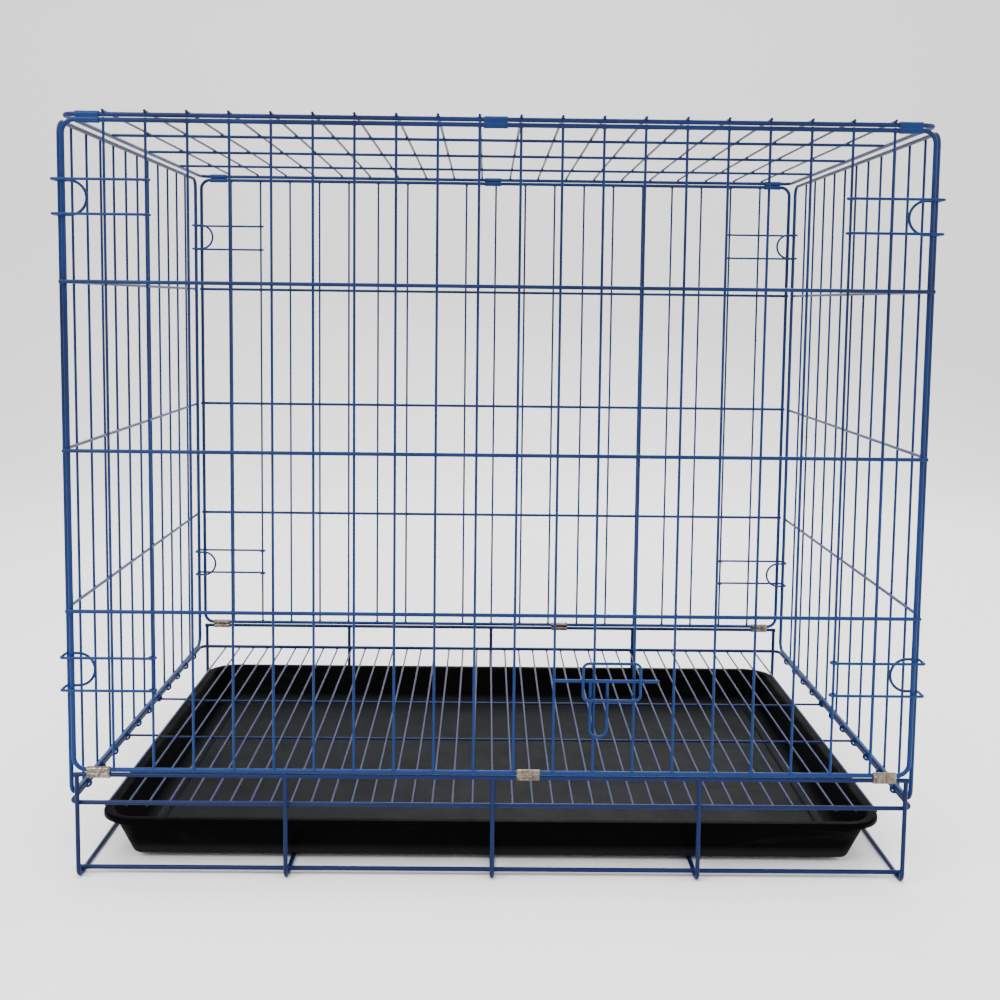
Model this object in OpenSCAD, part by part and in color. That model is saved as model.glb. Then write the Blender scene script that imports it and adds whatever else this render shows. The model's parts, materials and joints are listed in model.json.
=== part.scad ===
// Folding wire crate on a raised wire floor, with a slide-out tray.
// X runs across the long side, -Y is the front, Z is up, and Z = 0 is the ground.

/* [Overall] */
// Distance between the centres of the two side rails of the floor
crate_w = 746; // [560:1:1000]
// Distance between the centres of the front and rear panels
crate_d = 515; // [400:1:700]
// Height of the front and rear panels, between their rail centres
panel_h = 561.5; // [440:0.5:760]
// Height of the floor frame's wire above the ground, to its centre
floor_z = 68; // [55:1:90]

/* [Wires] */
// Diameter of the wire that frames each panel and the base
frame_wire = 4; // [3:0.1:5]
// Diameter of the thin uprights and of the top panel's bars
upright_wire = 2.4; // [1.8:0.1:3]
// Diameter of the cross wires on the front and rear panels
cross_wire = 3.4; // [2.4:0.1:3.8]
// Diameter of the cross wires on the side and top panels
side_cross_wire = 2.9; // [2:0.1:3.6]
// Diameter of the thin bars of the floor
floor_wire = 2; // [1.6:0.1:3]
// Diameter of the spring wire of the corner latches
latch_wire = 2.5; // [1.8:0.1:3]

/* [Grid] */
// Gaps between uprights across the front panel
front_gaps = 21; // [14:1:28]
// Gaps between uprights across the rear panel
rear_gaps = 20; // [14:1:28]
// Gaps between uprights across each side panel
side_gaps = 12; // [8:1:16]
// Gaps between the bars of the floor
floor_gaps = 38; // [24:1:44]
// Heights of the three cross wires above the floor frame, as parts of the panel's height
cross_heights = [0.293, 0.529, 0.772]; // [0.15:0.001:0.9]
// Places of the top panel's cross wires, as parts of the depth from the front
top_cross_places = [0.27, 0.52, 0.78]; // [0.1:0.01:0.9]

/* [Base] */
// Inset of the outermost floor bars from the side rails
floor_bar_inset = 31; // [20:1:45]
// Places of the floor's two cross wires, as parts of the depth from the front
floor_cross_places = [0.36, 0.59]; // [0.3:0.01:0.7]
// Height of the base rail above the floor frame
base_rail_rise = 27; // [20:0.5:40]
// Number of legs along the front, each carried back as a runner on the ground
runners = 5; // [3:1:7]
// Inset of the end runners from the side rails
runner_inset = 7; // [6:0.5:20]
// Bend radius where a leg turns along the ground
leg_bend = 7; // [5:0.5:12]
// Bend radius of the floor frame's corners
floor_bend = 8; // [5:0.5:14]

/* [Panels] */
// Bend radius of the frame corners
corner_bend = 11; // [6:0.5:20]
// Inset of the front, rear and top frames from the side rails
panel_inset = 5; // [4.6:0.1:10]
// Inset of the side frames from the front and rear panels
side_inset = 8.5; // [8.3:0.1:14]
// Gap between two frame wires that lie side by side
rail_gap = 0.5; // [0.3:0.1:1]
// Gap between the floor's side rail and the side frame's lower wire
side_floor_gap = 0.7; // [0.5:0.1:2]
// Depth by which a welded wire sinks into the one it crosses
weld = 0.4; // [0.1:0.05:0.6]
// Length of the wire ends that show past a weld
wire_tail = 3; // [1:0.5:6]

/* [Clips] */
// Length of a hinge clip along the rail
clip_l = 20; // [14:0.5:22]
// Thickness of a clip's sheet
clip_t = 0.8; // [0.5:0.1:1.2]
// Clearance between a clip and the wires in it
clip_gap = 0.15; // [0.1:0.05:0.2]
// Bays of the front panel that hold its upper and lower middle clips
front_clip_bays = [11, 12]; // [8:1:13]
// Bay of the top panel that holds the upper rear middle clip
top_rear_clip_bay = 11; // [8:1:13]
// Bay of the rear panel that holds its lower middle clip
low_rear_clip_bay = 13; // [8:1:13]
// Distance of each middle clip to the left of its bay's middle
clip_shift = 4; // [0:0.5:5]
// Distance from a frame's side to the end clips' centres
clip_inset = 21.5; // [21:0.5:24]

/* [Corner latches] */
// Height of each latch, between its two arms
latch_h = 29; // [22:0.5:40]
// Heights of the lower latches above the floor frame: front left, front right, rear left, rear right
low_latch_rise = [118, 119, 110, 102]; // [60:1:138]
// Drops of the upper latches below the panels' top rail, in the same order
high_latch_drop = [64, 72, 71, 74]; // [40:1:100]
// Upright that carries a latch, counted from the corner
latch_upright = 2; // [1:1:3]
// Clearance round the latch wire
latch_gap = 0.3; // [0.2:0.05:0.6]
// Length of the straight part of the thumb loop, inside the corner
thumb_l = 8; // [4:0.5:20]

/* [Slide bolt] */
// Gap between uprights that the bolt guide spans, counted from the left
bolt_bay = 14; // [5:1:16]
// Height of the bolt above the floor frame
bolt_rise = 116; // [40:1:120]
// Diameter of the bolt
bolt_wire = 3; // [2:0.1:4]
// Length of the bolt
bolt_l = 92; // [75:1:110]
// Distance of the bolt's middle to the left of its bay's middle
bolt_shift = 7; // [4:0.5:9]
// Reach of the guide loop past the bay's left upright
guide_over = 10; // [8:0.5:14]
// Bend radius of the guide loop's corners
guide_bend = 5; // [3:0.5:8]
// Height of the guide loop
guide_h = 33; // [26:0.5:44]
// Width of the handle hung from the bolt
handle_w = 15; // [10:0.5:15]
// Drop of the handle below the bolt
handle_drop = 50; // [35:1:65]

/* [Tray] */
// Clearance from the tray's rim to the side rails
tray_end_gap = 15; // [12:1:60]
// Clearance from the tray's rim to the front and rear legs
tray_side_gap = 12; // [12:1:40]
// Height of the tray
tray_h = 44; // [30:1:52]
// Wall thickness of the tray
tray_t = 2.4; // [1.6:0.1:4]
// Corner radius of the tray's rim
tray_corner = 34; // [26:1:60]
// Inward slope of the tray's wall, from rim to floor
tray_slope = 22; // [8:1:26]
// Width of the tray's rolled rim
rim_w = 7; // [5:0.5:8]
// Drop of the rim's turned-down lip
rim_drop = 5; // [4:0.5:8]
// Depth of the channel round the tray's floor
channel_h = 4; // [2:0.5:6]
// Width of that channel
channel_w = 12; // [8:1:16]

/* [Hidden] */
$fn = 24;
tiny = 0.01;
blue = "#1f3f7f";
silver = "#b5ada2";
black = "#1b1b1c";

frame_r = frame_wire / 2;
upright_r = upright_wire / 2;
cross_r = cross_wire / 2;
latch_r = latch_wire / 2;

rail_pitch = frame_wire + rail_gap;
half_w = crate_w / 2;
panel_y = crate_d / 2;
panel_x = half_w - panel_inset;
base_rail_z = floor_z + base_rail_rise;
panel_z0 = base_rail_z + rail_pitch;
panel_z1 = panel_z0 + panel_h;
top_z = panel_z1 + rail_pitch;

// Floor frame, inside the legs that it's welded to
floor_y = panel_y - frame_wire;
floor_bar_z = floor_z - frame_r - floor_wire / 2 + weld;

// Uprights are flush with the frame's outer face, and cross wires are welded on that face
upright_y = panel_y + frame_r - upright_r;
cross_y = upright_y + upright_r + cross_r - weld / 2;

// Each side panel turns about the floor's side rail, in eyes bent from its uprights
hinge_gap = 0.35;
eye_turn = 290;
eye_r = frame_r + hinge_gap + upright_r;
side_upright_x = half_w + eye_r;
side_frame_x = side_upright_x - upright_r - frame_r + weld / 4;
side_cross_x = side_upright_x - upright_r - side_cross_wire / 2 + weld / 4;
side_y = panel_y - side_inset;
side_z0 = floor_z + frame_wire + side_floor_gap;
side_z1 = panel_z1;

top_bar_z = top_z + frame_r + upright_r - weld / 2;
top_cross_z = top_bar_z - upright_r - side_cross_wire / 2 + weld / 2;

front_pitch = 2 * panel_x / front_gaps;
rear_pitch = 2 * panel_x / rear_gaps;
side_pitch = 2 * side_y / side_gaps;

// The rear upright nearest the upper rear middle clip, and a place outside every clip
rear_mid_upright = round(rear_gaps / 2) * rear_pitch - panel_x;
no_upright = crate_w;

// Bay of the grid that holds the middle clip of each row, as a distance from the frame's left side
function bay_mid(bay, pitch) = (bay - 0.5) * pitch - panel_x;
top_front_clip = bay_mid(front_clip_bays[0], front_pitch) - clip_shift;
low_front_clip = bay_mid(front_clip_bays[1], front_pitch) - clip_shift;
top_rear_clip = bay_mid(top_rear_clip_bay, front_pitch) - clip_shift;
low_rear_clip = bay_mid(low_rear_clip_bay, rear_pitch) - clip_shift;

low_wire_z = frame_wire + frame_r - weld / 2;
// The tray lies on the runners, between the low wires
tray_z = frame_wire + rail_gap / 2;
tray_x = half_w - frame_r - tray_end_gap;
tray_y = panel_y - frame_r - tray_side_gap;
// Depth by which the floor's sheet laps into the channel's inner edge
floor_lap = 1;

// Slide bolt on the front panel
bolt_z = floor_z + bolt_rise;
bolt_y = -upright_y - upright_r - bolt_wire / 2 - latch_gap;
guide_y = bolt_y - bolt_wire / 2 - latch_r - latch_gap;
bay_x0 = snap((bolt_bay - 1) * front_pitch - panel_x);
bay_x1 = snap(bolt_bay * front_pitch - panel_x);

// Puts a place on a 0.01 mm grid, so that the pieces of one bent wire meet exactly
function snap(v) = round(v * 100) / 100;
function unit(v) = v / norm(v);
function across(z) = abs(z[2]) < 0.9 ? unit(cross([0, 0, 1], z)) : unit(cross([1, 0, 0], z));
function turn_at(a, b, c) = 180 - acos(unit(a - b) * unit(c - b));
function trim_at(a, b, c, r) = r * tan(turn_at(a, b, c) / 2);
// Wraps an index round a closed list of points
function at(p, i) = p[(i + len(p)) % len(p)];

// Puts its child in a frame given by three unit axes and an origin
module in_frame(x, y, z, o) {
    multmatrix([
        [x[0], y[0], z[0], o[0]],
        [x[1], y[1], z[1], o[1]],
        [x[2], y[2], z[2], o[2]]]) children();
}

// Straight round wire from a to b
module rod(a, b, d) {
    z = unit(b - a);
    x = across(z);
    in_frame(x, cross(z, x), z, a) cylinder(d = d, h = norm(b - a));
}

// Bend of radius r that rounds the corner b between a and c
module bend(a, b, c, d, r) {
    u = unit(a - b);
    v = unit(c - b);
    turn = turn_at(a, b, c);
    centre = b + unit(u + v) * r / cos(turn / 2);
    x = unit(b + u * trim_at(a, b, c, r) - centre);
    n = unit(cross(v, u));
    in_frame(x, cross(n, x), n, centre)
        rotate_extrude(angle = turn) translate([r, 0]) circle(d = d);
}

// Open wire along points, with every corner bent to radius r
module bent_wire(p, d, r) {
    last = len(p) - 1;
    for (i = [0:last - 1]) {
        u = unit(p[i + 1] - p[i]);
        start = i == 0 ? 0 : trim_at(p[i - 1], p[i], p[i + 1], r);
        stop = i == last - 1 ? 0 : trim_at(p[i], p[i + 1], p[i + 2], r);
        rod(p[i] + u * start, p[i + 1] - u * stop, d);
    }
    for (i = [1:last - 1]) bend(p[i - 1], p[i], p[i + 1], d, r);
}

// Closed wire ring along points, with every corner bent to radius r
module ring_wire(p, d, r) {
    for (i = [0:len(p) - 1]) {
        u = unit(at(p, i + 1) - p[i]);
        start = trim_at(at(p, i - 1), p[i], at(p, i + 1), r);
        stop = trim_at(p[i], at(p, i + 1), at(p, i + 2), r);
        rod(p[i] + u * start, at(p, i + 1) - u * stop, d);
        bend(at(p, i - 1), p[i], at(p, i + 1), d, r);
    }
}

// Frame, uprights and cross wires of the front panel; side = -1 is the front, +1 the rear
module end_frame(side) {
    y = side * panel_y;
    ring_wire([[-panel_x, y, panel_z0], [panel_x, y, panel_z0],
               [panel_x, y, panel_z1], [-panel_x, y, panel_z1]], frame_wire, corner_bend);
}

module end_uprights(side, gaps) {
    y = side * upright_y;
    pitch = 2 * panel_x / gaps;
    for (i = [1:gaps - 1]) {
        x = i * pitch - panel_x;
        rod([x, y, panel_z0], [x, y, panel_z1 + frame_r], upright_wire);
    }
}

module end_cross_wires(side) {
    y = side * cross_y;
    x = panel_x + frame_r + wire_tail / 2;
    for (k = cross_heights) {
        z = floor_z + k * (panel_z1 - floor_z);
        rod([-x, y, z], [x, y, z], cross_wire);
    }
}

// Side panels; side = -1 is the left, +1 the right
module side_frame(side) {
    x = side * side_frame_x;
    ring_wire([[x, -side_y, side_z0], [x, side_y, side_z0],
               [x, side_y, side_z1], [x, -side_y, side_z1]], frame_wire, corner_bend);
}

module side_uprights(side) {
    x = side * side_upright_x;
    for (i = [1:side_gaps - 1]) {
        y = i * side_pitch - side_y;
        rod([x, y, floor_z], [x, y, side_z1], upright_wire);
    }
}

module side_cross_wires(side) {
    x = side * side_cross_x;
    for (k = cross_heights) {
        z = floor_z + k * (panel_z1 - floor_z);
        rod([x, -side_y, z], [x, side_y, z], side_cross_wire);
    }
}

// The eyes that the side uprights' lower ends make round the floor's side rail
module side_hinge_eyes(side) {
    for (i = [1:side_gaps - 1]) {
        y = i * side_pitch - side_y;
        translate([side * half_w, y, floor_z]) rotate([90, 0, 0])
            mirror([side < 0 ? 1 : 0, 0, 0]) rotate(-eye_turn)
                rotate_extrude(angle = eye_turn) translate([eye_r, 0]) circle(d = upright_wire);
    }
}

// Top panel: its bars lie on the frame and carry the cross wires under them
module top_frame() {
    color(blue) ring_wire([[-panel_x, -panel_y, top_z], [panel_x, -panel_y, top_z],
                           [panel_x, panel_y, top_z], [-panel_x, panel_y, top_z]],
                          frame_wire, corner_bend);
}

module top_bars() {
    y = panel_y + frame_r + wire_tail / 2;
    color(blue) for (i = [1:front_gaps - 1]) {
        x = i * front_pitch - panel_x;
        rod([x, -y, top_bar_z], [x, y, top_bar_z], upright_wire);
    }
}

module top_cross_wires() {
    color(blue) for (k = top_cross_places) {
        y = (k - 0.5) * crate_d;
        rod([-panel_x, y, top_cross_z], [panel_x, y, top_cross_z], side_cross_wire);
    }
}

// Base: the two rails that the legs hang from
module base_rail(side) {
    x = half_w - runner_inset;
    y = side * panel_y;
    rod([-x - frame_r, y, base_rail_z], [x + frame_r, y, base_rail_z], frame_wire);
}

// One front leg, runner and rear leg, bent from one wire
module runner(i) {
    x = (i - 1) * 2 * (half_w - runner_inset) / (runners - 1) - half_w + runner_inset;
    leg_top = base_rail_z - frame_r + weld;
    bent_wire([[x, -panel_y, leg_top], [x, -panel_y, frame_r],
               [x, panel_y, frame_r], [x, panel_y, leg_top]], frame_wire, leg_bend);
}

// Long wire that ties the runners together just above the ground
module low_wire(side) {
    x = half_w - runner_inset + wire_tail;
    y = side * (panel_y - leg_bend - frame_wire);
    rod([-x, y, low_wire_z], [x, y, low_wire_z], frame_wire);
}

module floor_frame() {
    color(blue) ring_wire([[-half_w, -floor_y, floor_z], [half_w, -floor_y, floor_z],
                           [half_w, floor_y, floor_z], [-half_w, floor_y, floor_z]],
                          frame_wire, floor_bend);
}

module floor_bars() {
    span = 2 * (half_w - floor_bar_inset);
    color(blue) for (i = [0:floor_gaps]) {
        x = i * span / floor_gaps - span / 2;
        rod([x, -floor_y, floor_bar_z], [x, floor_y, floor_bar_z], floor_wire);
    }
}

// The long cross wires run under the bars, and short ones tie the outermost bars to the side rails
module floor_cross_wires() {
    bar_x = half_w - floor_bar_inset;
    end_z = floor_z - frame_r - upright_r + weld / 2;
    low_z = floor_bar_z - floor_wire / 2 - upright_r + weld / 2;
    color(blue) for (k = floor_cross_places) {
        y = (k - 0.5) * crate_d;
        rod([upright_r - bar_x, y, low_z], [bar_x - upright_r, y, low_z], upright_wire);
        for (s = [-1, 1]) rod([s * bar_x, y, end_z], [s * (half_w + frame_r), y, end_z], upright_wire);
    }
}

// Wall of the tray as a section: 0 is the rim's outer edge, the floor lies inwards at -X
module tray_section() {
    foot = rim_w + tray_slope;
    polygon([
        [0, tray_h - rim_drop], [0, tray_h], [-rim_w, tray_h],
        [-foot, channel_h], [-foot - channel_w / 2, tray_t], [-foot - channel_w, tray_t + channel_h],
        [-foot - channel_w, channel_h], [-foot - channel_w / 2, 0], [-foot, 0],
        [-rim_w + tray_t, tray_h - tray_t], [-tray_t, tray_h - tray_t],
        [-tray_t, tray_h - rim_drop]]);
}

module tray() {
    reach = tray_corner;
    cx = tray_x - reach;
    cy = tray_y - reach;
    inner = rim_w + tray_slope + channel_w - floor_lap;
    color(black) translate([0, 0, tray_z]) {
        for (s = [-1, 1]) {
            translate([s * tray_x, s * cy, 0]) rotate([90, 0, s < 0 ? 180 : 0])
                linear_extrude(2 * cy) tray_section();
            translate([-s * cx, s * tray_y, 0]) rotate([90, 0, s < 0 ? -90 : 90])
                linear_extrude(2 * cx) tray_section();
        }
        for (q = [0:3])
            translate([(q == 0 || q == 3 ? 1 : -1) * cx, (q < 2 ? 1 : -1) * cy, 0]) rotate(q * 90)
                rotate_extrude(angle = 90) intersection() {
                    translate([reach, 0]) tray_section();
                    square([reach + rim_w, tray_h * 2]);
                }
        translate([inner - tray_x, inner - tray_y, channel_h])
            cube([2 * (tray_x - inner), 2 * (tray_y - inner), tray_t]);
    }
}

// Sheet clip that wraps two rails, one above the other, with lower rail centre at z.
// Its lower wall is notched where the panel's middle upright runs up into it.
module rail_clip(x, side, z, notch_x) {
    inner_r = frame_r + clip_gap;
    outer_r = inner_r + clip_t;
    translate([x, side * panel_y, z]) difference() {
        translate([-clip_l / 2, 0, 0]) rotate([90, 0, 90]) linear_extrude(clip_l) difference() {
            clip_outline(outer_r);
            clip_outline(inner_r);
        }
        if (abs(notch_x - x) < clip_l / 2) translate([notch_x - x, side * outer_r, -outer_r])
            cube([upright_wire + 2 * latch_gap, 2 * (outer_r + upright_r), 2 * outer_r], center = true);
    }
}

module clip_outline(r) {
    circle(r = r);
    translate([0, rail_pitch]) circle(r = r);
    translate([-r, 0]) square([2 * r, rail_pitch]);
}

// Three clips: one at each end of the rails and one at middle, notched for an upright at notch_x
module clip_row(side, z, middle, notch_x) {
    reach = panel_x - clip_inset;
    for (x = [-reach, middle, reach]) rail_clip(x, side, z, notch_x);
}

function low_latch(corner) = floor_z + low_latch_rise[corner];
function high_latch(corner) = panel_z1 - high_latch_drop[corner];

// Corner latch: eyes on an upright, two arms across the corner, and the thumb loop inside.
// It's drawn for the front right corner and mirrored to the others.
module corner_latch(side_x, side_y_dir, gaps, z) {
    pitch = 2 * panel_x / gaps;
    hang_x = snap(panel_x - latch_upright * pitch);
    eye = upright_r + latch_gap + latch_r;
    arm_y = -upright_y - eye;
    hook_x = side_frame_x + frame_r + latch_gap + latch_r;
    loop_y = -side_y + frame_r + latch_gap + latch_r;
    turn_r = latch_wire;
    loop_x = hook_x - turn_r - thumb_l;
    loop_r = latch_h / 2;
    latch_eye_turn = 310;
    color(blue) mirror([side_x < 0 ? 1 : 0, 0, 0]) mirror([0, side_y_dir > 0 ? 1 : 0, 0])
        translate([0, 0, z]) {
            for (s = [-1, 1]) {
                translate([hang_x, -upright_y, s * loop_r]) rotate(270 - latch_eye_turn)
                    rotate_extrude(angle = latch_eye_turn) translate([eye, 0]) circle(d = latch_wire);
                bent_wire([[hang_x, arm_y, s * loop_r], [hook_x, arm_y, s * loop_r],
                           [hook_x, loop_y, s * loop_r], [loop_x, loop_y, s * loop_r]],
                          latch_wire, turn_r);
            }
            translate([loop_x, loop_y, 0]) rotate([90, 0, 0]) rotate(90)
                rotate_extrude(angle = 180) translate([loop_r, 0]) circle(d = latch_wire);
        }
}

// A guide loop on two uprights holds the bolt against them
module bolt_guide() {
    x0 = bay_x0 - guide_over;
    x1 = bay_x1 + guide_over / 2;
    z0 = bolt_z - guide_h / 2;
    z1 = bolt_z + guide_h / 2;
    color(blue) {
        ring_wire([[x0, guide_y, z0], [x1, guide_y, z0], [x1, guide_y, z1], [x0, guide_y, z1]],
                  latch_wire, guide_bend);
        for (p = [[bay_x0, z1], [bay_x1, z1], [bay_x1, z0]])
            rod([p[0], guide_y, p[1]], [p[0], -upright_y, p[1]], latch_wire);
    }
}

module slide_bolt() {
    mid = (bay_x0 + bay_x1) / 2 - bolt_shift;
    x0 = bay_x0 - bolt_shift / 2;
    x1 = x0 + handle_w;
    color(blue) {
        rod([mid - bolt_l / 2, bolt_y, bolt_z], [mid + bolt_l / 2, bolt_y, bolt_z], bolt_wire);
        bent_wire([[x0, bolt_y, bolt_z], [x0, bolt_y, bolt_z - handle_drop],
                   [x1, bolt_y, bolt_z - handle_drop], [x1, bolt_y, bolt_z]],
                  latch_wire, handle_w / 2 - tiny);
    }
}

color(blue) base_rail(-1);  // base_front_rail
color(blue) base_rail(1);  // base_rear_rail
for (i = [1:runners]) color(blue) runner(i);
color(blue) low_wire(-1);  // low_wire_front
color(blue) low_wire(1);  // low_wire_rear
floor_frame();
floor_bars();
floor_cross_wires();
tray();
color(blue) end_frame(-1);  // front_frame
color(blue) end_uprights(-1, front_gaps);  // front_uprights
color(blue) end_cross_wires(-1);  // front_cross_wires
color(blue) end_frame(1);  // rear_frame
color(blue) end_uprights(1, rear_gaps);  // rear_uprights
color(blue) end_cross_wires(1);  // rear_cross_wires
top_frame();
top_bars();
top_cross_wires();
color(blue) side_frame(-1);  // left_frame
color(blue) side_uprights(-1);  // left_uprights
color(blue) side_cross_wires(-1);  // left_cross_wires
color(blue) side_hinge_eyes(-1);  // left_hinge_eyes
color(blue) side_frame(1);  // right_frame
color(blue) side_uprights(1);  // right_uprights
color(blue) side_cross_wires(1);  // right_cross_wires
color(blue) side_hinge_eyes(1);  // right_hinge_eyes
color(blue) clip_row(-1, panel_z1, top_front_clip, no_upright);  // top_front_clips
color(blue) clip_row(1, panel_z1, top_rear_clip, rear_mid_upright);  // top_rear_clips
color(silver) clip_row(-1, base_rail_z, low_front_clip, no_upright);  // bottom_front_clips
color(silver) clip_row(1, base_rail_z, low_rear_clip, no_upright);  // bottom_rear_clips
corner_latch(-1, -1, front_gaps, high_latch(0));  // latch_front_left_upper
corner_latch(-1, -1, front_gaps, low_latch(0));  // latch_front_left_lower
corner_latch(1, -1, front_gaps, high_latch(1));  // latch_front_right_upper
corner_latch(1, -1, front_gaps, low_latch(1));  // latch_front_right_lower
corner_latch(-1, 1, rear_gaps, high_latch(2));  // latch_rear_left_upper
corner_latch(-1, 1, rear_gaps, low_latch(2));  // latch_rear_left_lower
corner_latch(1, 1, rear_gaps, high_latch(3));  // latch_rear_right_upper
corner_latch(1, 1, rear_gaps, low_latch(3));  // latch_rear_right_lower
bolt_guide();
slide_bolt();
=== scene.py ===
import json
import math

import bmesh
import bpy
from mathutils import Matrix, Vector


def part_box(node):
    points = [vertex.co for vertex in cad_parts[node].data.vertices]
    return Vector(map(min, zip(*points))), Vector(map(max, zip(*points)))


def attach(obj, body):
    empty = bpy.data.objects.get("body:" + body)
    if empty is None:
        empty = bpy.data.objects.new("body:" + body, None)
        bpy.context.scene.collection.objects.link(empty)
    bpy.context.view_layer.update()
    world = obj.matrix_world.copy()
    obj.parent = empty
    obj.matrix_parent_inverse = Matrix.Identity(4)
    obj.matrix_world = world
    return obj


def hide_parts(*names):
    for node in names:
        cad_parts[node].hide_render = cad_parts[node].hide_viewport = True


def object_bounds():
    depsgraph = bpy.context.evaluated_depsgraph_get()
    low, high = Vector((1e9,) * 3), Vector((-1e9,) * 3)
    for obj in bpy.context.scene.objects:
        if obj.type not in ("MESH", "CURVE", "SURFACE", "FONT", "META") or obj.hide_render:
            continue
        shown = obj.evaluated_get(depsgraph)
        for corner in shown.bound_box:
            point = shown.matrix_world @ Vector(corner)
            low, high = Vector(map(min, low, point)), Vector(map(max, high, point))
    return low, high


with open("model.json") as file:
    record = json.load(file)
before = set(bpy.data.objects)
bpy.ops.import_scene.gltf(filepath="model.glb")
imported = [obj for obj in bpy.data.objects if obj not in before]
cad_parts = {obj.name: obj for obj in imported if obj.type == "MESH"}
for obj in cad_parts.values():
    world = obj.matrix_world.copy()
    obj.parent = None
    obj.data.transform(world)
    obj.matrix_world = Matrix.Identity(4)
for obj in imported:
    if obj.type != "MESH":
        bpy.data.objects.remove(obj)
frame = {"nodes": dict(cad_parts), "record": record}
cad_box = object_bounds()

MM = 0.001


# ---- Material helpers ----
# Each finish is built from noise in object space, so its grain keeps its real size
# on every piece. One builder gives the node chain that all finishes share.
class Finish:
    """A Principled material with short calls for the node patterns used here."""

    def __init__(self, name):
        self.material = bpy.data.materials.new(name)
        self.material.use_nodes = True
        self.nodes = self.material.node_tree.nodes
        self.links = self.material.node_tree.links
        self.shader = self.nodes["Principled BSDF"]
        self.place = self.nodes.new("ShaderNodeTexCoord").outputs["Object"]

    def noise(self, scale, detail=3.0, roughness=0.55, distortion=0.0, stretch=None):
        """Noise at a scale per metre, drawn out along the axes when stretch is given."""
        node = self.nodes.new("ShaderNodeTexNoise")
        node.inputs["Scale"].default_value = scale
        node.inputs["Detail"].default_value = detail
        node.inputs["Roughness"].default_value = roughness
        node.inputs["Distortion"].default_value = distortion
        place = self.place
        if stretch:
            mapping = self.nodes.new("ShaderNodeMapping")
            mapping.inputs["Scale"].default_value = stretch
            self.links.new(place, mapping.inputs["Vector"])
            place = mapping.outputs["Vector"]
        self.links.new(place, node.inputs["Vector"])
        return node.outputs["Fac"]

    def cells(self, scale):
        """Distance to the nearest cell point, for pebbled grain."""
        node = self.nodes.new("ShaderNodeTexVoronoi")
        node.inputs["Scale"].default_value = scale
        self.links.new(self.place, node.inputs["Vector"])
        return node.outputs["Distance"]

    def height(self):
        """Height above the ground."""
        node = self.nodes.new("ShaderNodeSeparateXYZ")
        self.links.new(self.place, node.inputs["Vector"])
        return node.outputs["Z"]

    def fit(self, value, low, high, to_low, to_high):
        """Maps the range low to high onto to_low to to_high, clamped."""
        node = self.nodes.new("ShaderNodeMapRange")
        for key, number in zip(("From Min", "From Max", "To Min", "To Max"),
                               (low, high, to_low, to_high)):
            node.inputs[key].default_value = number
        self.links.new(value, node.inputs["Value"])
        return node.outputs["Result"]

    def mix(self, factor, first, second):
        """Blends two colours by a factor."""
        node = self.nodes.new("ShaderNodeMix")
        node.data_type = "RGBA"
        self.wire(factor, node.inputs[0])
        self.wire(first, node.inputs[6])
        self.wire(second, node.inputs[7])
        return node.outputs[2]

    def wire(self, value, socket):
        """Links an output to a socket, or sets the socket to a number or a colour."""
        if isinstance(value, bpy.types.NodeSocket):
            self.links.new(value, socket)
        elif isinstance(value, (int, float)):
            socket.default_value = value
        else:
            socket.default_value = (*value, 1.0)

    def math(self, operation, first, second):
        """One arithmetic step on two values."""
        node = self.nodes.new("ShaderNodeMath")
        node.operation = operation
        self.wire(first, node.inputs[0])
        self.wire(second, node.inputs[1])
        return node.outputs[0]

    def bump(self, layers):
        """Adds bump layers of (height, strength, distance in metres), one on another."""
        normal = None
        for height, strength, distance in layers:
            node = self.nodes.new("ShaderNodeBump")
            node.inputs["Strength"].default_value = strength
            node.inputs["Distance"].default_value = distance
            self.links.new(height, node.inputs["Height"])
            if normal:
                self.links.new(normal, node.inputs["Normal"])
            normal = node.outputs["Normal"]
        self.links.new(normal, self.shader.inputs["Normal"])

    def set(self, **sockets):
        """Wires the shader's own sockets by name, with _ for a space."""
        for key, value in sockets.items():
            self.wire(value, self.shader.inputs[key.replace("_", " ")])


def dress(piece, material):
    """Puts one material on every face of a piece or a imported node."""
    piece.data.materials.clear()
    piece.data.materials.append(material)


# ---- Finishes ----
# The wire is deep blue powder coat with a faint orange-peel surface. The lower clips are
# bare steel with a mottled, stained zinc skin. The tray is grained black plastic.
def powder_coat(name, upper, lower, gloss):
    """Blue powder coat, painted lighter and more saturated low on the crate and darker towards the top as
    painted light and shade.
    """
    f = Finish(name)
    top = cad_box[1][2]
    # Painted light and shade: the coat is lighter low on the crate and darker towards the top.
    rise = f.fit(f.height(), top * 0.12, top * 0.75, 0.0, 1.0)
    body = f.mix(rise, lower, upper)
    drift = f.fit(f.noise(9.0, detail=2.0), 0.35, 0.65, 0.0, 1.0)
    body = f.mix(f.math("MULTIPLY", drift, 0.35), body, tuple(c * 1.4 for c in lower))
    speck = f.fit(f.noise(2600.0, detail=1.0), 0.62, 0.74, 0.0, 1.0)
    body = f.mix(f.math("MULTIPLY", speck, 0.08), body, tuple(min(1.0, c * 2.6 + 0.01) for c in upper))
    thin = f.fit(f.noise(160.0, detail=4.0, distortion=0.6), 0.66, 0.78, 0.0, 1.0)
    body = f.mix(f.math("MULTIPLY", thin, 0.3), body, tuple(c * 0.45 for c in upper))
    rough = f.fit(f.noise(420.0, detail=3.0), 0.3, 0.7, gloss - 0.05, gloss + 0.12)
    f.set(Base_Color=body, Roughness=rough)
    f.shader.inputs["Specular IOR Level"].default_value = 0.14
    f.shader.inputs["Coat Weight"].default_value = 0.02
    f.shader.inputs["Coat Roughness"].default_value = 0.2
    f.bump([(f.noise(950.0, detail=2.0), 0.16, 0.00012),
            (f.noise(2400.0, detail=1.0), 0.1, 0.00005)])
    return f.material


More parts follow.
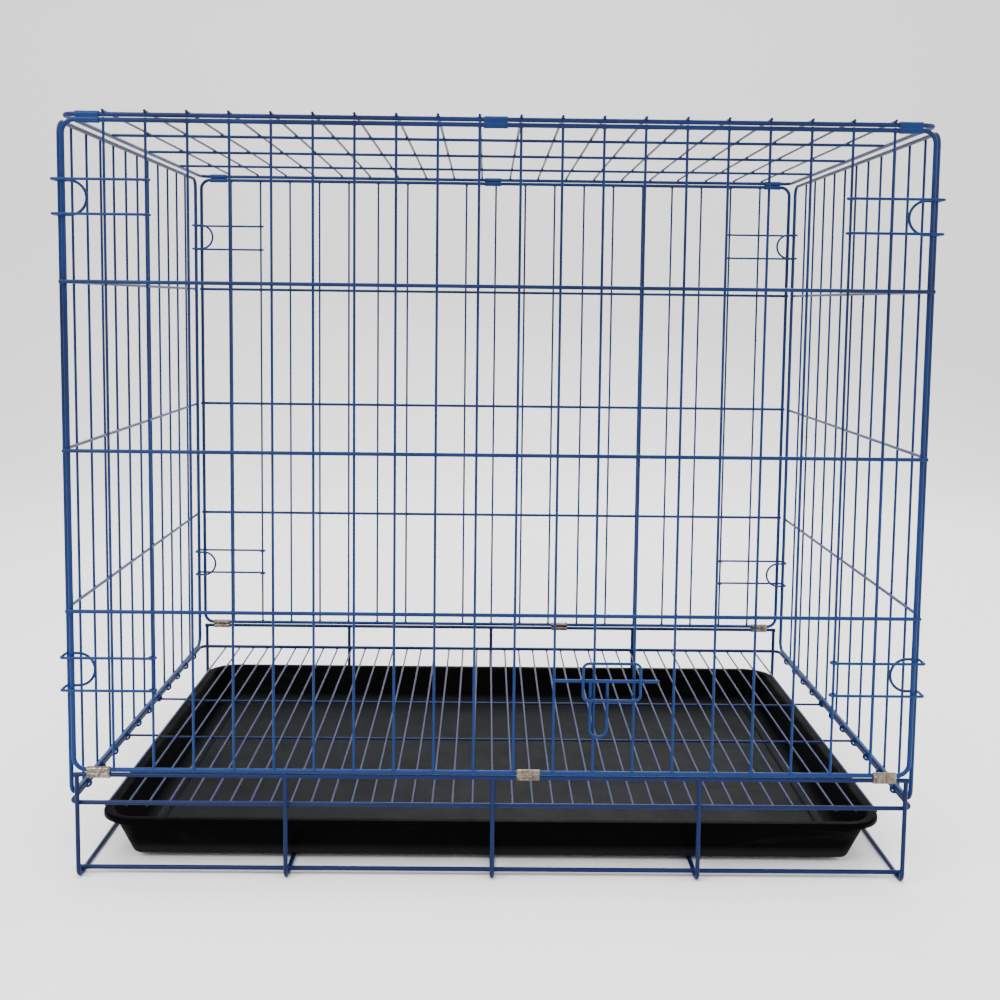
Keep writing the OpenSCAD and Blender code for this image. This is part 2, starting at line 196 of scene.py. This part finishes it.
def bare_clip_steel(name):
    """Zinc-skinned spring steel with stains, scratches and dull patches."""
    f = Finish(name)
    patches = f.fit(f.noise(210.0, detail=5.0, distortion=1.2), 0.38, 0.62, 0.0, 1.0)
    skin = f.mix(patches, (0.232, 0.2, 0.164), (0.073, 0.055, 0.041))
    stains = f.fit(f.noise(95.0, detail=4.0, roughness=0.7), 0.52, 0.68, 0.0, 1.0)
    skin = f.mix(f.math("MULTIPLY", stains, 0.75), skin, (0.13, 0.075, 0.04))
    bloom = f.fit(f.cells(420.0), 0.0, 0.35, 1.0, 0.0)
    skin = f.mix(f.math("MULTIPLY", bloom, 0.35), skin, (0.5, 0.47, 0.43))
    scratch = f.fit(f.noise(60.0, detail=2.0, stretch=(2.0, 30.0, 30.0)), 0.6, 0.7, 0.0, 1.0)
    rough = f.math("ADD", f.fit(patches, 0.0, 1.0, 0.3, 0.55), f.math("MULTIPLY", scratch, 0.15))
    f.set(Base_Color=skin, Roughness=rough, Metallic=f.fit(stains, 0.0, 1.0, 0.95, 0.45))
    f.bump([(f.noise(300.0, detail=4.0), 0.4, 0.00015), (scratch, 0.2, 0.00004)])
    return f.material


def moulded_plastic(name):
    """Vacuum-formed black sheet: pebbled grain, lighter rougher scuffs and dust specks, and walls and rim
    painted near black above the floor as painted shade.
    """
    f = Finish(name)
    low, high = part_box("tray")
    # Painted shade: above the floor the walls and rim are painted near black, darker than the floor.
    up = f.fit(f.height(), low[2] + 0.0062, low[2] + 0.014, 0.0, 1.0)
    haze = f.fit(f.noise(5.5, detail=3.0), 0.35, 0.7, 0.0, 1.0)
    floor = f.mix(haze, (0.0085, 0.0092, 0.0105), (0.0115, 0.0123, 0.014))
    body = f.mix(up, floor, (0.0006, 0.0006, 0.0006))
    dust = f.fit(f.noise(900.0, detail=2.0), 0.66, 0.76, 0.0, 1.0)
    body = f.mix(f.math("MULTIPLY", dust, 0.22), body, (0.03, 0.028, 0.026))
    scuff = f.fit(f.noise(14.0, detail=5.0, distortion=0.8, stretch=(1.0, 7.0, 1.0)), 0.6, 0.72, 0.0, 1.0)
    body = f.mix(f.math("MULTIPLY", scuff, 0.16), body, (0.018, 0.0172, 0.018))
    rough = f.math("ADD", f.fit(f.noise(30.0), 0.3, 0.7, 0.4, 0.52), f.math("MULTIPLY", scuff, 0.1))
    f.set(Base_Color=body, Roughness=rough)
    f.shader.inputs["Specular IOR Level"].default_value = 0.014
    f.bump([(f.cells(850.0), 0.35, 0.00012), (f.noise(1900.0, detail=2.0), 0.25, 0.00006),
            (f.noise(22.0, detail=2.0), 0.25, 0.0006)])
    return f.material


PANEL_BLUE = powder_coat("panel_blue", (0.002, 0.0078, 0.043), (0.0026, 0.019, 0.094), 0.36)
BASE_BLUE = powder_coat("base_blue", (0.0018, 0.0072, 0.043), (0.0019, 0.0078, 0.048), 0.34)
LATCH_BLUE = powder_coat("latch_blue", (0.0022, 0.0115, 0.062), (0.0026, 0.0195, 0.096), 0.33)
CLIP_BLUE = powder_coat("clip_blue", (0.0024, 0.013, 0.067), (0.0026, 0.019, 0.09), 0.38)
CLIP_STEEL = bare_clip_steel("clip_steel")
TRAY_BLACK = moulded_plastic("tray_black")
WIRE_FINISH = {"panel_wire_paint": PANEL_BLUE, "base_wire_paint": BASE_BLUE,
               "latch_wire_paint": LATCH_BLUE}

node_slot = {part["node"]: part["material_slot"] for part in frame["record"]["subparts"]}
for node, packed in frame["nodes"].items():
    if node_slot[node] in WIRE_FINISH:
        dress(packed, WIRE_FINISH[node_slot[node]])


# ---- Tray ----
# One vacuum-formed sheet of black plastic: a rolled rim with a turned-down lip, sloped
# walls with soft corners, and a flat floor inside a shallow channel.
def centre(node):
    low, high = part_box(node)
    return (Vector(low) + Vector(high)) / 2


def half_size(node):
    low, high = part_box(node)
    return (Vector(high) - Vector(low)) / 2


def add_mesh(name, vertices, faces=()):
    """A new smooth-shaded object from points and faces, at the origin."""
    mesh = bpy.data.meshes.new(name)
    mesh.from_pydata([tuple(v) for v in vertices], [], [tuple(f) for f in faces])
    mesh.validate()
    for polygon in mesh.polygons:
        polygon.use_smooth = True
    piece = bpy.data.objects.new(name, mesh)
    bpy.context.collection.objects.link(piece)
    return piece


def arc_points(cx, cy, radius, start, stop, steps):
    """Points on an arc, from start to stop degrees, both included."""
    turns = [math.radians(start + (stop - start) * k / steps) for k in range(steps + 1)]
    return [(cx + radius * math.cos(t), cy + radius * math.sin(t)) for t in turns]


def rounded(points, radii, steps=5):
    """An open outline with each inner corner rounded by its own radius."""
    out = [points[0]]
    for before, here, after, radius in zip(points, points[1:], points[2:], radii):
        b, h, a = Vector(before), Vector(here), Vector(after)
        u, v = (b - h).normalized(), (a - h).normalized()
        half = math.acos(max(-1.0, min(1.0, u.dot(v)))) / 2
        cut = min(radius / math.tan(half), (b - h).length * 0.45, (a - h).length * 0.45)
        for k in range(steps + 1):
            t = k / steps
            point = (h + u * cut) * (1 - t) ** 2 + h * 2 * t * (1 - t) + (h + v * cut) * t ** 2
            out.append(tuple(point))
    return out + [points[-1]]


def rounded_rectangle(half_x, half_y, radius, z, per_corner=14, per_side=6):
    """A ring of points round a rectangle with arc corners, the same count at every size."""
    ring = []
    corners = [(1, 1, 0), (-1, 1, 90), (-1, -1, 180), (1, -1, 270)]
    for (sx, sy, start), (nx, ny, _) in zip(corners, corners[1:] + corners[:1]):
        cx, cy = sx * (half_x - radius), sy * (half_y - radius)
        ring += arc_points(cx, cy, radius, start, start + 90, per_corner)
        last = Vector(ring[-1])
        turn = math.radians(start + 90)
        first = Vector((nx * (half_x - radius) + radius * math.cos(turn),
                        ny * (half_y - radius) + radius * math.sin(turn)))
        ring += [tuple(last.lerp(first, k / per_side)) for k in range(1, per_side)]
    return [(x, y, z) for x, y in ring]


tray_low, tray_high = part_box("tray")
tray_half = half_size("tray")
tray_mid = centre("tray")
TRAY_T = 2.4 * MM
RIM_W = 7 * MM
RIM_DROP = 5 * MM
WALL_SLOPE = 22 * MM
TRAY_CORNER = 34 * MM
LEAST_CORNER = 6 * MM
FOOT = RIM_W + WALL_SLOPE
tray_rise = tray_high[2] - tray_low[2]

# The section as (inset from the rim's edge, height), from under the floor, up and over, to the floor
FLOOR_EDGE = 90 * MM
STEP = 4 * MM
under = [(FLOOR_EDGE, STEP), (FOOT + 13 * MM, STEP), (FOOT + 9 * MM, 0.0), (FOOT - 2 * MM, 0.0),
         (RIM_W + TRAY_T * 0.2, tray_rise - TRAY_T), (TRAY_T, tray_rise - TRAY_T),
         (TRAY_T * 0.9, tray_rise - RIM_DROP), (0.0, tray_rise - RIM_DROP)]
over = [(0.0, tray_rise - RIM_DROP), (0.0, tray_rise), (RIM_W + TRAY_T * 0.6, tray_rise),
        (FOOT, TRAY_T), (FOOT + 7.5 * MM, TRAY_T), (FOOT + 11.5 * MM, STEP + TRAY_T),
        (FLOOR_EDGE, STEP + TRAY_T)]
under_curve = rounded(under, [r * MM for r in (3, 2.5, 11, 2.5, 0.8, 0.8)], 7)
over_curve = rounded(over, [r * MM for r in (3.2, 3.6, 9, 3, 3)], 7)
section = under_curve + over_curve[1:]

vertices = []
for inset, height in section:
    vertices += rounded_rectangle(tray_half[0] - inset, tray_half[1] - inset,
                                  max(TRAY_CORNER - inset, LEAST_CORNER),
                                  tray_low[2] + height)
count = len(vertices) // len(section)
faces = []
for ring in range(len(section) - 1):
    for k in range(count):
        a, b = ring * count + k, ring * count + (k + 1) % count
        faces.append((a, b, b + count, a + count))
faces.append(tuple(reversed(range(count))))
faces.append(tuple(range((len(section) - 1) * count, len(section) * count)))
tray_shell = add_mesh("tray_shell", [(x + tray_mid[0], y + tray_mid[1], z) for x, y, z in vertices],
                      faces)
bm = bmesh.new()
bm.from_mesh(tray_shell.data)
bmesh.ops.recalc_face_normals(bm, faces=bm.faces)
bm.to_mesh(tray_shell.data)
bm.free()
dress(tray_shell, TRAY_BLACK)
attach(tray_shell, "tray")
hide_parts("tray")


# ---- Rail clips ----
# Each clip is a strip of sheet steel rolled round two rails, nipped in between them, with
# its two edges meeting at the back. The upper six are painted over, the lower six are bare.
FRONT_GAPS = 21
REAR_GAPS = 20
RAIL_GAP = 0.5 * MM
rail_low, rail_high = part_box("base_front_rail")
FRAME_R = (rail_high[2] - rail_low[2]) / 2
bar_low, bar_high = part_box("top_bars")
UPRIGHT_R = (bar_high[2] - bar_low[2]) / 2

CLIP_T = 0.75 * MM
CLIP_L = 20 * MM
CLIP_AIR = 0.12 * MM
CLIP_NIP = 0.55 * MM
CLIP_SEAM = 0.35 * MM
CLIP_EDGE = 0.18 * MM
NOTCH = (UPRIGHT_R + 0.3 * MM) / CLIP_L


def make_plain(piece):
    """Turns what the modifiers show into the piece's own mesh."""
    graph = bpy.context.evaluated_depsgraph_get()
    mesh = bpy.data.meshes.new_from_object(piece.evaluated_get(graph))
    piece.modifiers.clear()
    piece.data = mesh
    return piece


def rolled_clip(name, at, gap_turn, notches=()):
    """One clip on two rails at (x, y, lower z), with its seam inside and a notch at each of notches."""
    reach = FRAME_R + CLIP_AIR + CLIP_T / 2
    pitch = 2 * FRAME_R + RAIL_GAP
    nip = reach - CLIP_NIP
    path = [(-nip, pitch / 2 - CLIP_SEAM)]
    path += arc_points(0, 0, reach, 140, 400, 26)
    path += [(nip, pitch / 2)]
    path += arc_points(0, pitch, reach, -40, 220, 26)
    path += [(-nip, pitch / 2 + CLIP_SEAM)]
    stations = [(-0.5, 0.94), (-0.485, 1.0), (-0.44, 1.012), (-0.3, 1.0), (0, 0.995),
                (0.3, 1.0), (0.44, 1.012), (0.485, 1.0), (0.5, 0.94)]
    slots = [((x - at[0]) / CLIP_L - NOTCH, (x - at[0]) / CLIP_L + NOTCH) for x in notches]
    stations = sorted(stations + [(edge, 1.0) for slot in slots for edge in slot])
    points = []
    for along, swell in stations:
        for u, v in path:
            points.append((at[0] + along * CLIP_L, at[1] + gap_turn * u * swell,
                           at[2] + pitch / 2 + (v - pitch / 2) * swell))
    n = len(path)
    quads = []
    for r in range(len(stations) - 1):
        along = (stations[r][0] + stations[r + 1][0]) / 2
        cut = any(low < along < high for low, high in slots)
        for k in range(n - 1):
            outside = path[k][0] > -UPRIGHT_R and path[k][1] < 0
            if not (cut and outside):
                quads.append((r * n + k, r * n + k + 1, (r + 1) * n + k + 1, (r + 1) * n + k))
    clip = add_mesh(name, points, quads)
    wall = clip.modifiers.new("wall", "SOLIDIFY")
    wall.thickness = CLIP_T
    wall.offset = 0.0
    edge = clip.modifiers.new("edge", "BEVEL")
    edge.width = CLIP_EDGE
    edge.segments = 2
    edge.limit_method = "ANGLE"
    return make_plain(clip)


def clip_places(node):
    """The middle of each clip in a packed row: its points fall in three groups along X."""
    mesh = frame["nodes"][node].data
    xs = sorted(v.co.x for v in mesh.vertices)
    groups = [[xs[0]]]
    for x in xs[1:]:
        if x - groups[-1][0] > CLIP_L * 1.5:
            groups.append([x])
        groups[-1].append(x)
    low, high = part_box(node)
    z = (low[2] + high[2]) / 2 - FRAME_R - RAIL_GAP / 2
    return [((g[0] + g[-1]) / 2, (low[1] + high[1]) / 2, z) for g in groups]


for node, finish, slot, inward in (("top_front_clips", CLIP_BLUE, "panel_wire_paint", -1),
                                   ("top_rear_clips", CLIP_BLUE, "panel_wire_paint", 1),
                                   ("bottom_front_clips", CLIP_STEEL, "bare_clip_steel", -1),
                                   ("bottom_rear_clips", CLIP_STEEL, "bare_clip_steel", 1)):
    clips = []
    end, gaps = ("front", FRONT_GAPS) if "front" in node else ("rear", REAR_GAPS)
    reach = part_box(f"{end}_frame")[1][0] - FRAME_R
    uprights = [2 * reach * k / gaps - reach for k in range(1, gaps)]
    for number, place in enumerate(clip_places(node)):
        inside = [x for x in uprights if abs(x - place[0]) < CLIP_L / 2]
        clip = rolled_clip(f"{node[:-1]}_{number + 1}", place, inward, inside)
        dress(clip, finish)
        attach(clip, "cage")
        clips.append(clip)
    for clip in clips:
        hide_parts(node)


# ---- Weld beads ----
# Every crossing is a resistance spot weld, where the thin wire has sunk into the thick one
# and the paint has pooled round it. Each bead is a squashed drop with a little variation.
def scatter_tree():
    """Geometry Nodes: one squashed drop on each point, sized by a seeded random."""
    tree = bpy.data.node_groups.new("scatter_drops", "GeometryNodeTree")
    side = tree.interface
    side.new_socket("Points", in_out="INPUT", socket_type="NodeSocketGeometry")
    side.new_socket("Size", in_out="INPUT", socket_type="NodeSocketVector")
    side.new_socket("Variation", in_out="INPUT", socket_type="NodeSocketFloat")
    side.new_socket("Seed", in_out="INPUT", socket_type="NodeSocketInt")
    side.new_socket("Finish", in_out="INPUT", socket_type="NodeSocketMaterial")
    side.new_socket("Geometry", in_out="OUTPUT", socket_type="NodeSocketGeometry")
    add, link = tree.nodes.new, tree.links.new
    given = add("NodeGroupInput")
    out = add("NodeGroupOutput")
    drop = add("GeometryNodeMeshIcoSphere")
    drop.inputs["Radius"].default_value = 1.0
    drop.inputs["Subdivisions"].default_value = 2
    smooth = add("GeometryNodeSetShadeSmooth")
    spread = add("FunctionNodeRandomValue")
    spread.data_type = "FLOAT"
    least = add("ShaderNodeMath")
    least.operation = "SUBTRACT"
    least.inputs[0].default_value = 1.0
    scale = add("ShaderNodeVectorMath")
    scale.operation = "SCALE"
    place = add("GeometryNodeInstanceOnPoints")
    real = add("GeometryNodeRealizeInstances")
    paint = add("GeometryNodeSetMaterial")
    link(drop.outputs["Mesh"], smooth.inputs[0])
    link(given.outputs["Variation"], least.inputs[1])
    link(least.outputs[0], spread.inputs[2])
    spread.inputs[3].default_value = 1.0
    link(given.outputs["Seed"], spread.inputs["Seed"])
    link(given.outputs["Size"], scale.inputs[0])
    link(spread.outputs[1], scale.inputs["Scale"])
    link(given.outputs["Points"], place.inputs["Points"])
    link(smooth.outputs[0], place.inputs["Instance"])
    link(scale.outputs[0], place.inputs["Scale"])
    link(place.outputs["Instances"], real.inputs[0])
    link(real.outputs[0], paint.inputs["Geometry"])
    link(given.outputs["Finish"], paint.inputs["Material"])
    link(paint.outputs["Geometry"], out.inputs[0])
    return tree


SIDE_GAPS = 12
FLOOR_GAPS = 38
WIRES_APART = 5 * MM
DROPS = scatter_tree()
DROP_INPUT = {item.name: item.identifier for item in DROPS.interface.items_tree
              if item.item_type == "SOCKET" and item.in_out == "INPUT"}


def scatter(name, points, size, variation, seed, finish, body):
    """Drops of one size on a list of points, as one plain mesh that rides on a body."""
    piece = add_mesh(name, points)
    modifier = piece.modifiers.new("drops", "NODES")
    modifier.node_group = DROPS
    modifier[DROP_INPUT["Size"]] = size
    modifier[DROP_INPUT["Variation"]] = variation
    modifier[DROP_INPUT["Seed"]] = seed
    modifier[DROP_INPUT["Finish"]] = finish
    make_plain(piece)
    dress(piece, finish)
    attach(piece, body)
    return piece


def steps(low, high, gaps, ends=False):
    """Evenly spaced places between two ends, with or without the ends themselves."""
    pitch = (high - low) / gaps
    span = range(gaps + 1) if ends else range(1, gaps)
    return [low + pitch * k for k in span]


def cross_places(node, axis):
    """Where a node's parallel wires lie along an axis, read from its vertices."""
    values = sorted(v.co[axis] for v in frame["nodes"][node].data.vertices)
    groups = [[values[0]]]
    for value in values[1:]:
        if value - groups[-1][-1] > WIRES_APART:
            groups.append([])
        groups[-1].append(value)
    return [(g[0] + g[-1]) / 2 for g in groups]


def row_places(node, gaps):
    """X places of a row of evenly spaced uprights or bars between its frame's two sides."""
    low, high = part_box(node)
    return steps(low[0] + FRAME_R, high[0] - FRAME_R, gaps)


def panel_welds(frame_node, upright_node, cross_node, gaps):
    """Crossings of an end panel: thin uprights on the thick frame and on its cross wires."""
    low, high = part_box(frame_node)
    side = -1 if low[1] < 0 else 1
    mid_y = (low[1] + high[1]) / 2
    cross_low, cross_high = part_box(cross_node)
    cross_y = (cross_low[1] + cross_high[1]) / 2
    cross_r = (cross_high[1] - cross_low[1]) / 2
    touch_y = cross_y - side * cross_r
    heights = cross_places(cross_node, 2)
    xs = row_places(frame_node, gaps)
    on_wires = [(x, touch_y, z) for x in xs for z in heights]
    on_wires += [(x, touch_y, z) for z in heights for x in (low[0] + FRAME_R, high[0] - FRAME_R)]
    rail_y = mid_y + side * FRAME_R * 0.75
    on_rails = [(x, rail_y, low[2] + 2 * FRAME_R) for x in xs]
    on_rails += [(x, rail_y, high[2] - 2 * FRAME_R) for x in xs]
    return on_wires, on_rails


WELD_ON_WIRE = (2.1 * MM, 0.9 * MM, 2.3 * MM)
WELD_ON_RAIL = (2.0 * MM, 0.9 * MM, 1.1 * MM)
for end, gaps, seed in (("front", FRONT_GAPS, 11), ("rear", REAR_GAPS, 23)):
    on_wires, on_rails = panel_welds(f"{end}_frame", f"{end}_uprights", f"{end}_cross_wires", gaps)
    scatter(f"{end}_cross_welds", on_wires, WELD_ON_WIRE, 0.22, seed, PANEL_BLUE, "cage")
    scatter(f"{end}_rail_welds", on_rails, WELD_ON_RAIL, 0.22, seed + 1, PANEL_BLUE, "cage")

for end, side, seed in (("left", -1, 37), ("right", 1, 41)):
    low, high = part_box(f"{end}_frame")
    up_low, up_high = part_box(f"{end}_uprights")
    touch_x = (up_high[0] - UPRIGHT_R * 2) if side > 0 else (up_low[0] + UPRIGHT_R * 2)
    ys = steps(low[1] + FRAME_R, high[1] - FRAME_R, SIDE_GAPS)
    heights = cross_places(f"{end}_cross_wires", 2)
    heights += [low[2] + FRAME_R, high[2] - FRAME_R]
    scatter(f"{end}_welds", [(touch_x, y, z) for y in ys for z in heights],
            (0.9 * MM, 2.0 * MM, 2.1 * MM), 0.22, seed, PANEL_BLUE, f"{end}_panel")

top_low, top_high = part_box("top_frame")
bar_ys = cross_places("top_cross_wires", 1) + [top_low[1] + FRAME_R, top_high[1] - FRAME_R]
top_touch = bar_low[2]
scatter("top_welds", [(x, y, top_touch) for x in row_places("top_frame", FRONT_GAPS)
                      for y in bar_ys],
        (2.0 * MM, 2.1 * MM, 0.85 * MM), 0.22, 53, PANEL_BLUE, "cage")

floor_low, floor_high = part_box("floor_bars")
FLOOR_R = (floor_high[2] - floor_low[2]) / 2
floor_xs = steps(floor_low[0] + FLOOR_R, floor_high[0] - FLOOR_R, FLOOR_GAPS, ends=True)
# The drops sit a little inside the floor frame's wire, in the corner it makes with each bar
WELD_INSET = 1.2 * MM
edge_low, edge_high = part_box("floor_frame")
frame_ys = [edge_low[1] + FRAME_R + WELD_INSET, edge_high[1] - FRAME_R - WELD_INSET]
scatter("floor_welds", [(x, y, floor_high[2] - 0.1 * MM) for x in floor_xs for y in frame_ys]
        + [(x, y, floor_low[2]) for x in floor_xs for y in cross_places("floor_cross_wires", 1)],
        (1.5 * MM, 1.4 * MM, 0.7 * MM), 0.22, 61, BASE_BLUE, "cage")

# ---- Cut wire ends ----
# The wires are sheared off and then coated, so each end shows as a low rounded cap of paint
# and not as a sharp flat disc.
def end_caps(name, points, size, seed, finish, body="cage"):
    """Low domes on cut wire ends."""
    return scatter(name, points, size, 0.12, seed, finish, body)


for end, seed in (("front", 71), ("rear", 73)):
    low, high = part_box(f"{end}_cross_wires")
    mid_y = (low[1] + high[1]) / 2
    radius = (high[1] - low[1]) / 2
    ends = [(x, mid_y, z) for x in (low[0], high[0]) for z in cross_places(f"{end}_cross_wires", 2)]
    end_caps(f"{end}_cross_caps", ends, (0.6 * MM, radius, radius), seed, PANEL_BLUE)

bar_mid_z = (bar_low[2] + bar_high[2]) / 2
end_caps("top_bar_caps", [(x, y, bar_mid_z) for x in row_places("top_frame", FRONT_GAPS)
                          for y in (bar_low[1], bar_high[1])],
         (UPRIGHT_R, 0.5 * MM, UPRIGHT_R), 79, PANEL_BLUE)

low_ends = []
rail_ends = []
for end in ("front", "rear"):
    low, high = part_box(f"low_wire_{end}")
    low_ends += [(x, (low[1] + high[1]) / 2, (low[2] + high[2]) / 2) for x in (low[0], high[0])]
    low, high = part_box(f"base_{end}_rail")
    rail_ends += [(x, (low[1] + high[1]) / 2, (low[2] + high[2]) / 2) for x in (low[0], high[0])]
end_caps("low_wire_caps", low_ends, (0.8 * MM, FRAME_R, FRAME_R), 83, BASE_BLUE)
end_caps("base_rail_caps", rail_ends, (0.8 * MM, FRAME_R, FRAME_R), 89, BASE_BLUE)

bolt_low, bolt_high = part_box("slide_bolt")
BOLT_R = 1.5 * MM
bolt_y = bolt_low[1] + BOLT_R
bolt_z = bolt_high[2] - BOLT_R
end_caps("bolt_caps", [(x, bolt_y, bolt_z) for x in (bolt_low[0], bolt_high[0])],
         (0.6 * MM, BOLT_R, BOLT_R), 91, LATCH_BLUE, "bolt")

# ---- Leg welds ----
# Each leg is butt-welded up into the underside of the base rail, which leaves a full
# collar of metal round its top, wider along the rail.
leg_tops = []
for number in range(1, 6):
    low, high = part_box(f"runner_{number}")
    leg_x = (low[0] + high[0]) / 2
    leg_tops += [(leg_x, y, high[2]) for y in (low[1] + FRAME_R, high[1] - FRAME_R)]
scatter("leg_welds", leg_tops, (3.1 * MM, 2.35 * MM, 1.3 * MM), 0.1, 97, BASE_BLUE, "cage")

# ---- Floor, light and camera ----
# A pale sweep under soft studio light, seen a little from above and almost square on.
sweep = [(-6.0, 0.0), (2.2, 0.0)] + [(2.2 + y, z + 1.6) for y, z in arc_points(0, 0, 1.6, -90, 0, 24)]
sweep += [(3.8, 7.0)]
sweep_points = [(x, y, z) for y, z in sweep for x in (-8.0, 8.0)]
sweep_faces = [(2 * k, 2 * k + 1, 2 * k + 3, 2 * k + 2) for k in range(len(sweep) - 1)]
studio_floor = add_mesh("studio_floor", sweep_points, sweep_faces)
floor_finish = Finish("studio_pale")
floor_finish.set(Base_Color=(0.9, 0.9, 0.9), Roughness=0.85)
floor_finish.shader.inputs["Specular IOR Level"].default_value = 0.1
dress(studio_floor, floor_finish.material)


def soft_light(name, place, aim, size, power):
    """A square area light aimed at a point."""
    lamp = bpy.data.lights.new(name, "AREA")
    lamp.shape = "SQUARE"
    lamp.size = size
    lamp.energy = power
    thing = bpy.data.objects.new(name, lamp)
    bpy.context.collection.objects.link(thing)
    thing.location = place
    thing.rotation_euler = (Vector(aim) - Vector(place)).to_track_quat("-Z", "Y").to_euler()
    return thing


MIDDLE = (0.0, 0.0, 0.33)
soft_light("key", (-1.6, -1.9, 2.3), MIDDLE, 1.6, 105.0)
soft_light("fill", (2.2, -1.3, 1.2), MIDDLE, 1.8, 50.0)
soft_light("rim", (0.4, 2.2, 2.0), MIDDLE, 1.6, 60.0)
soft_light("overhead", (0.0, -0.2, 2.8), MIDDLE, 2.2, 60.0)

world = bpy.data.worlds.new("studio")
bpy.context.scene.world = world
world.use_nodes = True
world.node_tree.nodes["Background"].inputs["Color"].default_value = (1.0, 1.0, 1.0, 1.0)
world.node_tree.nodes["Background"].inputs["Strength"].default_value = 1.1

CAMERA_AT = (-0.0097, -1.327, 0.5104)
PITCH = -5.262
YAW = -0.652
ROLL = -0.691
lens = bpy.data.cameras.new("camera")
lens.lens = 45.0
lens.sensor_width = 36.0
lens.shift_y = -0.08
camera = bpy.data.objects.new("camera", lens)
bpy.context.collection.objects.link(camera)
camera.matrix_world = (Matrix.Translation(CAMERA_AT)
                       @ Matrix.Rotation(math.radians(YAW), 4, "Z")
                       @ Matrix.Rotation(math.radians(90 + PITCH), 4, "X")
                       @ Matrix.Rotation(math.radians(-ROLL), 4, "Z"))
bpy.context.scene.camera = camera
